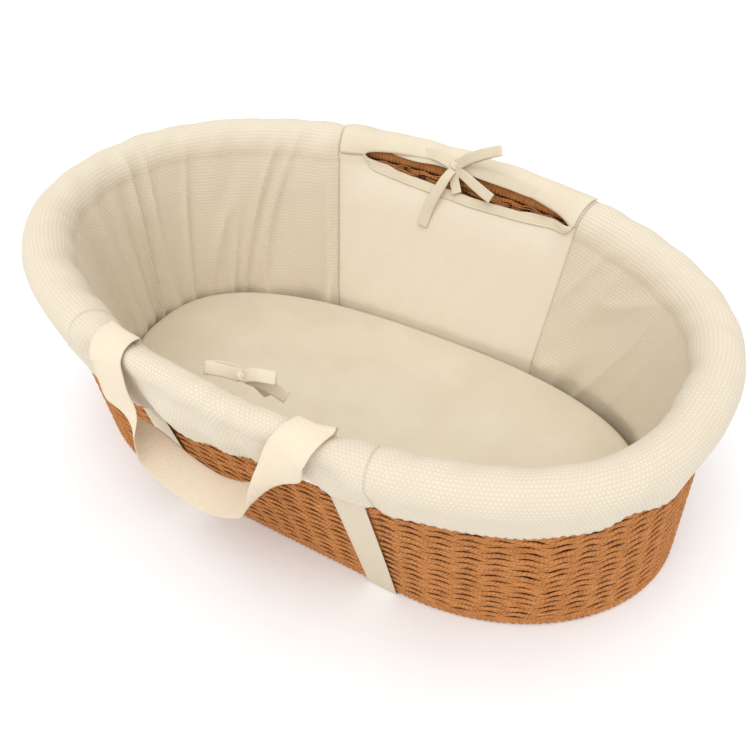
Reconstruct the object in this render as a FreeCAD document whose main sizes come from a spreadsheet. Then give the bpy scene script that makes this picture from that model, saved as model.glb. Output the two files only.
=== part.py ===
import FreeCAD, Part
import Sketcher
import math
import os

# A woven carrying basket with a padded liner, two webbing handles and a mattress.
# +X points to the foot end, +Y to the back, +Z up; the origin is under the middle, on the ground.
# Millimetres and degrees.

doc = FreeCAD.newDocument("carrying_basket")
sheet = doc.addObject("Spreadsheet::Sheet", "sizes")

DRIVING_SIZES = [
    # plan of the rim and of the foot of the wall
    ("rim_half_length", 390.6), ("rim_half_width", 246.0), ("rim_power_head", 2.16), ("rim_power_foot", 2.43),
    ("foot_half_length", 381.3), ("foot_half_width", 179.9), ("foot_straight", 164.0), ("foot_shift", 3.5),
    ("straight_turn", 25.0),
    # height of the rim's centre line at the head, the middle and the foot end
    ("rim_height_head", 266.2), ("rim_height_middle", 251.2), ("rim_height_foot", 220.9),
    # rope wall, borders, wires and floor
    ("wall_thick", 10.0), ("rim_border_radius", 8.0), ("wire_radius", 2.0), ("stake_radius", 2.2),
    ("border_width", 12.0), ("border_height", 12.0), ("floor_bottom", 4.0), ("floor_thick", 8.0),
    ("rod_radius", 1.6), ("rod_pitch", 62.0), ("stake_count", 72.0),
    # liner
    ("roll_radius", 24.4), ("cover_thick", 1.5), ("padding_cavity", 12.2), ("side_padding", 33.0),
    ("foot_padding", 21.0), ("widest_padding_height", 72.0),
    ("hem_out", 10.0), ("hem_drop_mean", 65.0), ("hem_drop_swing", 20.0), ("liner_bottom", 14.0),
    ("seam_head", -168.5), ("seam_foot_rear", 170.0), ("seam_foot_front", 177.0), ("seam_gap", 0.3),
    ("slot_head", -160.0), ("slot_foot", 160.0), ("slot_half", 14.0), ("facing_width", 10.0),
    # webbing handles and the flat tapes
    ("handle_head", -130.6), ("handle_foot", 119.4), ("webbing_width", 42.0), ("webbing_thick", 1.8),
    ("handle_lift", 5.0), ("tape_head", -107.0), ("tape_foot", 143.0), ("tape_width", 35.0), ("tape_thick", 1.2),
    # mattress
    ("mattress_half_length", 340.0), ("mattress_half_width", 155.0), ("mattress_end_radius", 125.0),
    ("mattress_bottom", 15.0), ("mattress_thick", 54.0), ("mattress_round", 12.0), ("sheet_thick", 1.2),
]
for row, (alias, value) in enumerate(DRIVING_SIZES, start=1):
    sheet.set("A%d" % row, alias)
    sheet.set("B%d" % row, str(value))
    sheet.setAlias("B%d" % row, alias)
doc.recompute()


def size(alias):
    return float(sheet.get(alias))


# ---- the shape of the basket -------------------------------------------------------------
# A turn of 0 is at the foot end, 90 at the back, 180 at the head end and 270 at the front.

def signed_power(value, power):
    return math.copysign(abs(value) ** power, value)


def rim_plan(turn):
    """Rounded oval of the rim's centre line, fuller at the foot end."""
    c, s = math.cos(math.radians(turn)), math.sin(math.radians(turn))
    power = size("rim_power_foot") if c > 0 else size("rim_power_head")
    return (size("rim_half_length") * signed_power(c, 2 / power),
            size("rim_half_width") * signed_power(s, 2 / power))


def foot_plan(turn):
    """Outline of the wall's foot: straight sides joined by half ellipses."""
    straight, spread = size("foot_straight"), size("straight_turn")
    off_end = abs((turn % 180) - 90)
    side = 1 if turn % 360 < 180 else -1
    toward_foot = 1 if (turn % 360 < 90 or turn % 360 > 270) else -1
    if off_end <= spread:
        return (size("foot_shift") + toward_foot * straight * off_end / spread, side * size("foot_half_width"))
    angle = math.radians((90 - off_end) * 90 / (90 - spread))
    end_length = size("foot_half_length") - straight
    return (size("foot_shift") + toward_foot * (straight + end_length * math.cos(angle)),
            side * size("foot_half_width") * math.sin(angle))


def rim_height(x):
    along = max(-1.0, min(1.0, x / size("rim_half_length")))
    head, middle, foot = size("rim_height_head"), size("rim_height_middle"), size("rim_height_foot")
    return middle + (foot - head) / 2 * along + ((foot + head) / 2 - middle) * along * along


class Station:
    """One upright cut through the wall: u runs outwards from the rim line and drop runs down the wall."""

    def __init__(self, turn):
        x, y = rim_plan(turn)
        step = 0.5
        ax, ay = rim_plan(turn - step)
        bx, by = rim_plan(turn + step)
        run = math.hypot(bx - ax, by - ay)
        self.along = FreeCAD.Vector((bx - ax) / run, (by - ay) / run, 0)
        self.out = FreeCAD.Vector(self.along.y, -self.along.x, 0)
        self.height = rim_height(x)
        self.rim = FreeCAD.Vector(x, y, self.height)
        fx, fy = foot_plan(turn)
        foot = FreeCAD.Vector(fx, fy, 0) - self.out * size("wall_thick") / 2
        self.fall = (foot - self.rim) / self.height

    def at(self, u, drop):
        return self.rim + self.out * u + self.fall * drop


def turn_at(x, side):
    """The turn whose rim point has this x, on the back (side 1) or the front (side -1)."""
    low, high = 0.0, 180.0
    for _ in range(50):
        middle = (low + high) / 2
        if rim_plan(middle)[0] > x:
            low = middle
        else:
            high = middle
    return low if side > 0 else 360.0 - low


def hem_drop(turn):
    return size("hem_drop_mean") - size("hem_drop_swing") * math.cos(math.radians(turn))


# ---- builders ---------------------------------------------------------------------------

def section_wire(station, outline):
    """Closed wire in a station's plane: pairs are corners, and ('arc', through, end) rounds a stretch."""
    edges = []
    here = start = station.at(*outline[0])
    for step in outline[1:]:
        if step[0] == "arc":
            through, end = station.at(*step[1]), station.at(*step[2])
            edges.append(Part.Arc(here, through, end).toShape())
            here = end
        else:
            end = station.at(*step)
            edges.append(Part.makeLine(here, end))
            here = end
    edges.append(Part.makeLine(here, start))
    return Part.Wire(edges)


def loft(name, wires, closed=False, ruled=False):
    sections = []
    for number, wire in enumerate(wires):
        section = doc.addObject("Part::Feature", "%s_section_%d" % (name, number))
        section.Shape = wire
        sections.append(section)
    thing = doc.addObject("Part::Loft", name)
    thing.Sections = sections
    thing.Solid = True
    thing.Closed = closed
    thing.Ruled = ruled
    thing.Label = name
    return thing


def ring(name, outline, count=24):
    """A closed ring round the basket; outline(turn) gives its section."""
    turns = [360.0 * number / count for number in range(count)]
    return loft(name, [section_wire(Station(turn), outline(turn)) for turn in turns], closed=True)


def stretch(name, outline, start, end, count):
    turns = [start + (end - start) * number / (count - 1) for number in range(count)]
    return loft(name, [section_wire(Station(turn), outline(turn)) for turn in turns])


def cut(name, base, tool):
    thing = doc.addObject("Part::Cut", name)
    thing.Base, thing.Tool = base, tool
    thing.Label = name
    return thing


def common(name, base, tool):
    thing = doc.addObject("Part::Common", name)
    thing.Base, thing.Tool = base, tool
    thing.Label = name
    return thing


def compound(name, things):
    thing = doc.addObject("Part::Compound", name)
    thing.Links = things
    thing.Label = name
    return thing


def ribbon(name, places, width, thick):
    """Flat band through places, each a middle point, the direction of its width and its face's normal."""
    rows = []
    for middle, across, normal in places:
        w, n = across * (width / 2), normal * (thick / 2)
        rows.append([middle - w - n, middle + w - n, middle + w + n, middle - w + n])
    faces = []
    for one, other in zip(rows, rows[1:]):
        for corner in range(4):
            following = (corner + 1) % 4
            faces.append(Part.makeRuledSurface(Part.makeLine(one[corner], one[following]),
                                               Part.makeLine(other[corner], other[following])))
    for row in (rows[0], rows[-1]):
        faces.append(Part.Face(Part.makePolygon(row + row[:1])))
    shell = Part.makeShell(faces)
    shell.sewShape()
    solid = Part.makeSolid(shell)
    if solid.Volume < 0:
        solid.reverse()
    thing = doc.addObject("Part::Feature", name)
    thing.Shape = solid
    thing.Label = name
    return thing


nodes = {}

# ---- rope wall, borders, wires and stakes ------------------------------------------------
half_wall = size("wall_thick") / 2
border_radius = size("rim_border_radius")


def wall_outline(turn):
    bottom = Station(turn).height - size("border_height")
    return [(-half_wall, border_radius + 0.2), (half_wall, border_radius + 0.2),
            (half_wall, bottom), (-half_wall, bottom)]


def foot_border_outline(turn):
    height = Station(turn).height
    out = half_wall + 1
    inner = out - size("border_width")
    top = height - size("border_height") + 0.2
    chamfer = 3.0
    sole = height + 0.5               # trimmed flat on the ground afterwards
    return [(inner, top), (out, top), (out, height - chamfer), (out - chamfer, sole), (inner, sole)]


def round_ring(name, u, drop_at, radius):
    """Ring of round section: two half circles make each section, with no closing line."""
    wires = []
    count = 24
    for number in range(count):
        turn = 360.0 * number / count
        station, drop = Station(turn), drop_at(turn)
        corners = [station.at(u - radius, drop), station.at(u, drop - radius),
                   station.at(u + radius, drop), station.at(u, drop + radius)]
        wires.append(Part.Wire([Part.Arc(corners[0], corners[1], corners[2]).toShape(),
                                Part.Arc(corners[2], corners[3], corners[0]).toShape()]))
    return loft(name, wires, closed=True)


nodes["basket_wall"] = ring("basket_wall", wall_outline)
nodes["rim_border"] = round_ring("rim_border", 0, lambda turn: 0, border_radius)
nodes["rim_wire"] = round_ring("rim_wire", 0, lambda turn: 0, size("wire_radius"))
nodes["foot_wire"] = round_ring("foot_wire", 0, lambda turn: Station(turn).height - 6.5, size("wire_radius"))

foot_border_solid = ring("foot_border_solid", foot_border_outline)
below_ground = doc.addObject("Part::Box", "below_ground")
below_ground.setExpression("Length", "2 * sizes.rim_half_length")
below_ground.setExpression("Width", "2 * sizes.rim_half_width")
below_ground.Height = 2.0
below_ground.setExpression("Placement.Base.x", "-sizes.rim_half_length")
below_ground.setExpression("Placement.Base.y", "-sizes.rim_half_width")
below_ground.setExpression("Placement.Base.z", "-2")
flat_foot_border = cut("flat_foot_border", foot_border_solid, below_ground)
tape_notches = []
for end in ("head", "foot"):
    notch = doc.addObject("Part::Box", "tape_notch_" + end)
    notch.setExpression("Length", "sizes.tape_width + 2")
    notch.setExpression("Width", "2 * sizes.rim_half_width")
    notch.setExpression("Height", "sizes.tape_thick + 0.6")
    notch.setExpression("Placement.Base.x", "sizes.tape_%s - sizes.tape_width / 2 - 1" % end)
    notch.setExpression("Placement.Base.y", "-sizes.rim_half_width")
    notch.setExpression("Placement.Base.z", "-0.1")
    tape_notches.append(notch)
nodes["foot_border"] = cut("foot_border", flat_foot_border, compound("tape_notches", tape_notches))


def leaning_rod(name, low, high, radius_alias):
    rod = doc.addObject("Part::Cylinder", name)
    rod.setExpression("Radius", "sizes." + radius_alias)
    run = high - low
    rod.Height = run.Length
    rod.Placement = FreeCAD.Placement(low, FreeCAD.Rotation(FreeCAD.Vector(0, 0, 1), run))
    return rod


stakes = []
for number in range(int(size("stake_count"))):
    station = Station(360.0 * (number + 0.5) / size("stake_count"))
    low = station.at(0, station.height - size("border_height") - 1)
    stakes.append(leaning_rod("stake_%d" % number, low, station.at(0, border_radius + 1.5), "stake_radius"))
nodes["wall_stakes"] = compound("wall_stakes", stakes)


# ---- woven floor and its rods ------------------------------------------------------------
def floor_wire(inset, z):
    points = []
    count = 48
    for number in range(count):
        turn = 360.0 * number / count
        x, y = foot_plan(turn)
        points.append(FreeCAD.Vector(x, y, z) - Station(turn).out * inset)
    curve = Part.BSplineCurve()
    curve.interpolate(points, PeriodicFlag=True)
    return Part.Wire(curve.toShape())


floor_inset = size("border_width") + 0.2
floor_outline = doc.addObject("Part::Feature", "floor_outline")
floor_outline.Shape = floor_wire(floor_inset, size("floor_bottom"))
basket_floor = doc.addObject("Part::Extrusion", "basket_floor")
basket_floor.Base = floor_outline
basket_floor.Dir = FreeCAD.Vector(0, 0, 1)
basket_floor.Solid = True
basket_floor.setExpression("LengthFwd", "sizes.floor_thick")
basket_floor.Label = "basket_floor"
nodes["basket_floor"] = basket_floor


def foot_half_width_at(x):
    """Half width of the foot outline at x."""
    past = max(0.0, abs(x - size("foot_shift")) - size("foot_straight"))
    end_length = size("foot_half_length") - size("foot_straight")
    return size("foot_half_width") * math.sqrt(max(0.0, 1 - (past / end_length) ** 2))


rods = []
rods_each_way = 5
for number in range(-rods_each_way, rods_each_way + 1):
    x = number * size("rod_pitch")
    reach = foot_half_width_at(x) - floor_inset - 6
    z = size("floor_bottom") + size("floor_thick") / 2
    rods.append(leaning_rod("floor_rod_%d" % (number + rods_each_way), FreeCAD.Vector(x, -reach, z),
                            FreeCAD.Vector(x, reach, z), "rod_radius"))
nodes["floor_rods"] = compound("floor_rods", rods)

# ---- liner -------------------------------------------------------------------------------
roll = size("roll_radius")
cover = size("cover_thick")
side_padding = size("side_padding")
cavity = size("padding_cavity")
shoulder = 8.0                       # the roll's outer side falls straight this far before it draws in
gather_end = 30.0                    # how far the wadding reaches down outside


def bottom_drop(turn):
    return Station(turn).height - size("liner_bottom")


def roll_point(radius, angle):
    """On the roll's curve: 0 is its top, 90 the outside, -90 the inside."""
    centre = shoulder ** 2 / (2 * (radius + shoulder))
    reach = radius + centre
    return (reach * math.sin(math.radians(angle)), centre - reach * math.cos(math.radians(angle)))


def inner_face(turn, inset):
    """Inner side of the liner from the roll down to the floor."""
    height = Station(turn).height
    return [(-roll + inset, shoulder), (-side_padding + inset, height - size("widest_padding_height")),
            (-size("foot_padding") + inset, bottom_drop(turn))]


def cover_outline(turn):
    """Thin waffle cotton from the hem outside, over the roll and down to the floor inside."""
    inner = roll - cover
    outside = [(size("hem_out"), hem_drop(turn)), (roll, shoulder), ("arc", (0, -roll), (-roll, shoulder))]
    back = inner_face(turn, cover)[::-1] + [("arc", (0, -inner), (inner, shoulder)),
                                            (size("hem_out") - cover, hem_drop(turn))]
    return outside + inner_face(turn, 0)[1:] + back


def flap_outline(turn):
    """The outer half of a side panel: from the hem up to the top of the roll."""
    inner = roll - cover
    return [(size("hem_out"), hem_drop(turn)), (roll, shoulder), ("arc", roll_point(roll, 45), (0, -roll)),
            (0, -inner), ("arc", roll_point(inner, 45), (inner, shoulder)),
            (size("hem_out") - cover, hem_drop(turn))]


def inside_outline(turn):
    """The inner half of a side panel: from the top of the roll down to the floor."""
    inner = roll - cover
    start = 0.5
    return ([roll_point(roll, -start), ("arc", roll_point(roll, -45), (-roll, shoulder))]
            + inner_face(turn, 0)[1:]
            + inner_face(turn, cover)[::-1] + [("arc", roll_point(inner, -45), roll_point(inner, -start))])


def padding_outline(turn):
    r = roll - cover - 0.3
    edge = 16.0
    return ([(edge, gather_end), (r, shoulder), ("arc", (0, -r), (-r, shoulder))]
            + inner_face(turn, cover + 0.3)[1:]
            + [(-cavity, bottom_drop(turn)), (-cavity, 0), ("arc", (0, -cavity), (cavity, 0)),
               (cavity, gather_end)])


def side_padding_outline(turn):
    """Beside the slots the wadding stays below the opening, on the inside only."""
    return [(-cavity, shoulder)] + inner_face(turn, cover + 0.3) + [(-cavity, bottom_drop(turn))]


gap_turn = math.degrees(size("seam_gap") / size("rim_half_width")) / 2
back_head, back_foot = turn_at(size("seam_head"), 1), turn_at(size("seam_foot_rear"), 1)
front_head, front_foot = turn_at(size("seam_head"), -1), turn_at(size("seam_foot_front"), -1)
PANELS = {
    "foot": (front_foot - 360 + gap_turn, back_foot - gap_turn, 13),
    "rear": (back_foot + gap_turn, back_head - gap_turn, 9),
    "head": (back_head + gap_turn, front_head - gap_turn, 13),
    "front": (front_head + gap_turn, front_foot - gap_turn, 9),
}


def slot_tool(name, side, grow):
    """Leaf-shaped cutter along the inner shoulder of the roll."""
    start, end = turn_at(size("slot_head"), side), turn_at(size("slot_foot"), side)
    count = 9
    wires = []
    for number in range(count):
        part = number / (count - 1)
        station = Station(start + (end - start) * part)
        half = (size("slot_half") + grow) * (0.35 + 0.65 * math.sin(math.pi * part)) + 1
        u, drop = -14.0, -13.0
        corners = [(u - half, drop), (u - half * 0.5, drop + half), (u + half * 0.5, drop + half),
                   (u + half, drop), (u + half * 0.5, drop - half), (u - half * 0.5, drop - half)]
        wires.append(Part.makePolygon([station.at(*corner) for corner in corners + corners[:1]]))
    return loft(name, wires, ruled=True)


for end in ("head", "foot"):
    start, stop, count = PANELS[end]
    nodes["liner_%s_panel" % end] = stretch("liner_%s_panel" % end, cover_outline, start, stop, count)
    nodes["%s_padding" % end] = stretch("%s_padding" % end, padding_outline, start, stop, count)

for name, side in (("rear", 1), ("front", -1)):
    start, stop, count = PANELS[name]
    slot = slot_tool(name + "_slot", side, 0)
    facing_zone = slot_tool(name + "_facing_zone", side, size("facing_width"))
    inside = stretch(name + "_inside", inside_outline, start, stop, count)
    flap = stretch(name + "_flap_whole", flap_outline, start, stop, count)
    facing_whole = common(name + "_facing_whole", inside, facing_zone)
    nodes["liner_%s_panel" % name] = cut("liner_%s_panel" % name, inside, facing_zone)
    nodes["%s_slot_facing" % name] = cut(name + "_slot_facing", facing_whole, slot)
    nodes["%s_outer_flap" % name] = cut(name + "_outer_flap", flap, slot)
    nodes["%s_padding" % name] = stretch(name + "_padding", side_padding_outline, start, stop, count)


def elastic_outline(turn):
    top, bottom = hem_drop(turn) - 9, hem_drop(turn) - 4
    return [(7.5, top), (8.4, top), (8.4, bottom), (7.5, bottom)]


nodes["hem_elastic"] = ring("hem_elastic", elastic_outline)


def casing(name, side):
    """Flat channel along the flap's top edge, between the two ends of the handle."""
    margin = size("webbing_width") / 2 + 4
    start = turn_at(size("handle_head") + margin, side)
    end = turn_at(size("handle_foot") - margin, side)
    low, high = roll + 0.2, roll + 1.8

    def outline(turn):
        lean = math.radians(38)
        half = lean / 2
        return [(0, -low), ("arc", (low * math.sin(half), -low * math.cos(half)),
                            (low * math.sin(lean), -low * math.cos(lean))),
                (high * math.sin(lean), -high * math.cos(lean)),
                ("arc", (high * math.sin(half), -high * math.cos(half)), (0, -high))]
    return stretch(name, outline, start, end, 7)


nodes["rear_tie_casing"] = casing("rear_tie_casing", 1)
nodes["front_tie_casing"] = casing("front_tie_casing", -1)


# ---- ties, each in a bow -----------------------------------------------------------------
def bow(name, x, side, knot_u, knot_drop, loops, tails):
    """A knot with two flat loops and two tails. Each loop or tail ends at (along +X, outwards, up)."""
    station = Station(turn_at(x, side))
    knot_place = station.at(knot_u, knot_drop)
    knot = doc.addObject("Part::Ellipsoid", name + "_knot")
    knot.Radius1, knot.Radius2, knot.Radius3 = 5.5, 8, 6
    knot.Placement.Base = knot_place
    up, inward = FreeCAD.Vector(0, 0, 1), station.out * -1
    along = FreeCAD.Vector(1, 0, 0)
    pieces = [knot]
    for kind, reaches, wide, thick in (("loop", loops, 15, 6), ("tail", tails, 14, 2)):
        for number, (reach_x, reach_out, reach_up) in enumerate(reaches):
            run = along * reach_x - inward * reach_out + up * reach_up
            far = knot_place + run
            near = knot_place + FreeCAD.Vector(run).normalize() * 9
            if kind == "tail":
                across = run.cross(inward).normalize()
            else:
                across = inward - run * (inward.dot(run) / run.dot(run))
            across = across.normalize()
            normal = FreeCAD.Vector(run).normalize().cross(across)
            middle = (near + far) / 2 + normal * 2
            pieces.append(ribbon("%s_%s_%d" % (name, kind, number),
                                 [(near, across, normal), (middle, across, normal), (far, across, normal)],
                                 wide, thick))
    return compound(name, pieces)


nodes["rear_tie"] = bow("rear_tie", -6, 1, -13, -roll - 8, [(56, 2, 38), (-40, 4, 6)],
                        [(-28, -14, -50), (40, -12, -16)])
nodes["front_tie"] = bow("front_tie", 20, -1, -20, -roll - 5, [(48, -4, 12), (-46, 4, 4)],
                         [(58, -16, -24), (30, -12, -36)])


# ---- flat tapes round the basket -----------------------------------------------------------
def on_wall(x, side, z, u):
    """Point of the wall's outer side with this x and height, u outwards, and the wall's direction there."""
    low, high = 1.0, 179.0

    def place(turn):
        station = Station(turn if side > 0 else 360 - turn)
        return station.at(u, station.height - z)
    for _ in range(40):
        middle = (low + high) / 2
        if place(middle).x > x:
            low = middle
        else:
            high = middle
    direction = (place(low - 0.5) - place(low + 0.5)).normalize()
    return place(low), direction


def tape(name, x):
    """Down the front wall, under the floor and up the rear wall."""
    thick = size("tape_thick")
    places = []
    u = half_wall + 0.8 + thick / 2
    top = rim_height(x) - border_radius - 6
    for side in (-1, 1):
        leg = []
        for z in (top, top * 0.7, top * 0.4, 16):
            point, direction = on_wall(x, side, z, u)
            leg.append((point, direction, FreeCAD.Vector(-direction.y, direction.x, 0) * side))
        foot = leg[-1][0]
        across, out = FreeCAD.Vector(1, 0, 0), FreeCAD.Vector(0, side, 0)
        leg.append((FreeCAD.Vector(x, foot.y + side * 1.5, 5), across, out))
        leg.append((FreeCAD.Vector(x, foot.y - side * 4, 0.3 + thick / 2), across, FreeCAD.Vector(0, 0, -1)))
        places += leg if side < 0 else leg[::-1]
    return ribbon(name, places, size("tape_width"), thick)


nodes["head_side_tape"] = tape("head_side_tape", size("tape_head"))
nodes["foot_side_tape"] = tape("foot_side_tape", size("tape_foot"))

# ---- carry handles -------------------------------------------------------------------------
strap = size("webbing_thick")
strap_radius = roll + size("handle_lift") + strap / 2
hang_line = strap_radius              # u of the webbing where it starts to hang


def hang_points(side):
    """Where the webbing starts to hang at the head-side and the foot-side end."""
    head, foot = Station(turn_at(size("handle_head"), side)), Station(turn_at(size("handle_foot"), side))
    return head.at(hang_line, 0), foot.at(hang_line, 0)


def handle_end(name, x, side):
    """Webbing end: up inside the slot from the wall and over the roll to where it hangs."""
    station = Station(turn_at(x, side))
    start, end = hang_points(side)
    chord = (end - start).normalize() * -side
    inner = 10.0
    path = [(-inner, 28, 0), (-inner, -2, 0), (-inner, -roll + 6, 0)]
    for lean in (20, 0, -25, -50, -75, -90):
        path.append((-strap_radius * math.sin(math.radians(lean)),
                     -strap_radius * math.cos(math.radians(lean)), lean))
    places = []
    for number, (u, drop, lean) in enumerate(path):
        before = path[max(0, number - 1)]
        after = path[min(len(path) - 1, number + 1)]
        run = station.at(after[0], after[1]) - station.at(before[0], before[1])
        turned = max(0.0, min(1.0, -lean / 50.0))
        across = (station.along * (1 - turned) + chord * turned).normalize()
        places.append((station.at(u, drop), across, run.cross(across).normalize()))
    return ribbon(name, places, size("webbing_width"), strap)


def handle_loop(name, side):
    """The hanging loop: flat on the liner at both ends, a quarter turn of twist down each leg."""
    start, end = hang_points(side)
    out = FreeCAD.Vector(0, side, 0)
    along = (end - start).normalize()
    # share of the way from the head-side end to the foot-side end, how far it hangs, and how far it stands in
    hang = [(0.0, 7.2, 0), (0.012, 18, 0), (0.035, 44, 0), (0.075, 78, 2), (0.15, 112, 6), (0.27, 134, 9),
            (0.42, 139, 9), (0.57, 130, 8), (0.71, 111, 6), (0.83, 84, 2), (0.92, 54, 0), (0.975, 24, 0),
            (1.0, 7.2, 0)]
    points = [start + (end - start) * share + FreeCAD.Vector(0, 0, -drop) - out * inset
              for share, drop, inset in hang]
    places = []
    last = len(points) - 1
    for number, point in enumerate(points):
        run = (points[min(last, number + 1)] - points[max(0, number - 1)]).normalize()
        drop = hang[number][1]
        twist = math.radians(90) * max(0.0, min(1.0, (drop - 30) / 84.0))
        hand = 1 if number <= last // 2 else -1
        flat = along - run * along.dot(run)
        if flat.Length < 0.2:
            flat = along
        flat = flat.normalize() * hand
        across = flat * math.cos(twist) + out * math.sin(twist)
        across = (across - run * across.dot(run)).normalize() * hand
        places.append((point, across, run.cross(across).normalize()))
    return places


def handle(name, side):
    places = handle_loop(name, side)
    steady = [places[0]]
    for middle, across, normal in places[1:]:
        if across.dot(steady[-1][1]) < 0:
            across, normal = across * -1, normal * -1
        steady.append((middle, across, normal))
    return ribbon(name, steady, size("webbing_width"), strap)


for name, side in (("front", -1), ("rear", 1)):
    nodes[name + "_handle_head_end"] = handle_end(name + "_handle_head_end", size("handle_head"), side)
    nodes[name + "_handle_foot_end"] = handle_end(name + "_handle_foot_end", size("handle_foot"), side)
    nodes[name + "_handle"] = handle(name + "_handle", side)


# ---- mattress ------------------------------------------------------------------------------
def origin_plane(body, role):
    return [feature for feature in body.Origin.OriginFeatures if feature.Role == role][0]


def oval_block(name, grow):
    """Body with one oval of four tangent arcs, grown all round, padded to the mattress's thickness."""
    body = doc.addObject("PartDesign::Body", name)
    sketch = body.newObject("Sketcher::SketchObject", name + "_outline")
    sketch.AttachmentSupport = [(origin_plane(body, "XY_Plane"), "")]
    sketch.MapMode = "FlatFace"
    length, width = size("mattress_half_length") + grow, size("mattress_half_width") + grow
    end_radius = size("mattress_end_radius") + grow
    centre = length - end_radius
    side_radius = (centre ** 2 + width ** 2 - end_radius ** 2) / (2 * (width - end_radius))
    lean = math.atan2(side_radius - width, centre)
    up = FreeCAD.Vector(0, 0, 1)
    for middle, radius, first, last in (
            ((centre, 0), end_radius, -lean, lean),
            ((0, width - side_radius), side_radius, lean, math.pi - lean),
            ((-centre, 0), end_radius, math.pi - lean, math.pi + lean),
            ((0, side_radius - width), side_radius, math.pi + lean, 2 * math.pi - lean)):
        circle = Part.Circle(FreeCAD.Vector(middle[0], middle[1], 0), up, radius)
        sketch.addGeometry(Part.ArcOfCircle(circle, first, last), False)
    tangent, symmetric, joined = "Tangent", "Symmetric", "Coincident"
    end_arc, back_arc, head_arc, front_arc = 0, 1, 2, 3
    first_point, last_point, centre_point = 1, 2, 3
    for rule in (
            (tangent, end_arc, last_point, back_arc, first_point),
            (tangent, back_arc, last_point, head_arc, first_point),
            (symmetric, end_arc, first_point, end_arc, last_point, -1),
            (symmetric, head_arc, first_point, head_arc, last_point, -1),
            (joined, front_arc, first_point, head_arc, last_point),
            (joined, front_arc, last_point, end_arc, first_point),
            ("PointOnObject", back_arc, centre_point, -2),
            ("Equal", back_arc, front_arc),
            ("Equal", end_arc, head_arc)):
        sketch.addConstraint(Sketcher.Constraint(*rule))
    radius_row = sketch.addConstraint(Sketcher.Constraint("Radius", end_arc, end_radius))
    sketch.setExpression("Constraints[%d]" % radius_row, "sizes.mattress_end_radius + %g" % grow)
    centre_row = sketch.addConstraint(
        Sketcher.Constraint("DistanceX", -1, first_point, end_arc, centre_point, centre))
    sketch.setExpression("Constraints[%d]" % centre_row,
                         "sizes.mattress_half_length - sizes.mattress_end_radius")
    side_row = sketch.addConstraint(Sketcher.Constraint("Radius", back_arc, side_radius))
    sketch.setExpression(
        "Constraints[%d]" % side_row,
        "((sizes.mattress_half_length - sizes.mattress_end_radius)^2 + (sizes.mattress_half_width + %g)^2"
        " - (sizes.mattress_end_radius + %g)^2) / (2 * (sizes.mattress_half_width - sizes.mattress_end_radius))"
        % (grow, grow))
    pad = body.newObject("PartDesign::Pad", name + "_pad")
    pad.Profile = sketch
    return body, sketch, pad


def oval_pad(name, grow):
    """The oval block with its edges rounded and its faces moved out by grow too."""
    body, sketch, pad = oval_block(name, grow)
    pad.setExpression("Length", "sizes.mattress_thick + %g" % (2 * grow))
    sketch.setExpression("AttachmentOffset.Base.z", "sizes.mattress_bottom - %g" % grow)
    doc.recompute()
    flat_edges = ["Edge%d" % number for number, edge in enumerate(pad.Shape.Edges, start=1)
                  if abs(edge.BoundBox.ZLength) < 0.01]
    fillet = body.newObject("PartDesign::Fillet", name + "_round")
    fillet.Base = (pad, flat_edges)
    fillet.setExpression("Radius", "sizes.mattress_round + %g" % grow)
    body.Tip = fillet
    return body


foam_shrink = -2 * size("sheet_thick") - 0.2
foam = oval_pad("mattress_foam", foam_shrink)
cover_inside = oval_pad("mattress_cover_inside", foam_shrink + 0.05)
cover_outside = oval_pad("mattress_cover_outside", -size("sheet_thick") - 0.1)
sheet_inside = oval_pad("fitted_sheet_inside", -size("sheet_thick"))
sheet_outside = oval_pad("fitted_sheet_outside", 0)
sheet_mouth, mouth_sketch, mouth_pad = oval_block("fitted_sheet_mouth", -40)
mouth_pad.setExpression("Length", "3 * sizes.sheet_thick")
mouth_sketch.setExpression("AttachmentOffset.Base.z", "sizes.mattress_bottom - sizes.sheet_thick")
nodes["mattress_foam"] = foam
nodes["mattress_cover"] = cut("mattress_cover", cover_outside, cover_inside)
sheet_shell = cut("fitted_sheet_shell", sheet_outside, sheet_inside)
nodes["fitted_sheet"] = cut("fitted_sheet", sheet_shell, sheet_mouth)

doc.recompute()

# ---- write one file for each piece ---------------------------------------------------------
for thing in doc.Objects:
    bad = [word for word in thing.State if word in ("Invalid", "Error")]
    if bad:
        raise RuntimeError("%s failed: %s" % (thing.Name, thing.State))
for name, thing in nodes.items():
    if thing.Shape.isNull() or not thing.Shape.isValid() or not thing.Shape.Solids:
        raise RuntimeError("bad shape: %s" % name)
os.makedirs("parts", exist_ok=True)
for name, thing in nodes.items():
    thing.Shape.exportStep("parts/%s.step" % name)
print(len(nodes), "pieces written")
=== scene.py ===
import math

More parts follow.
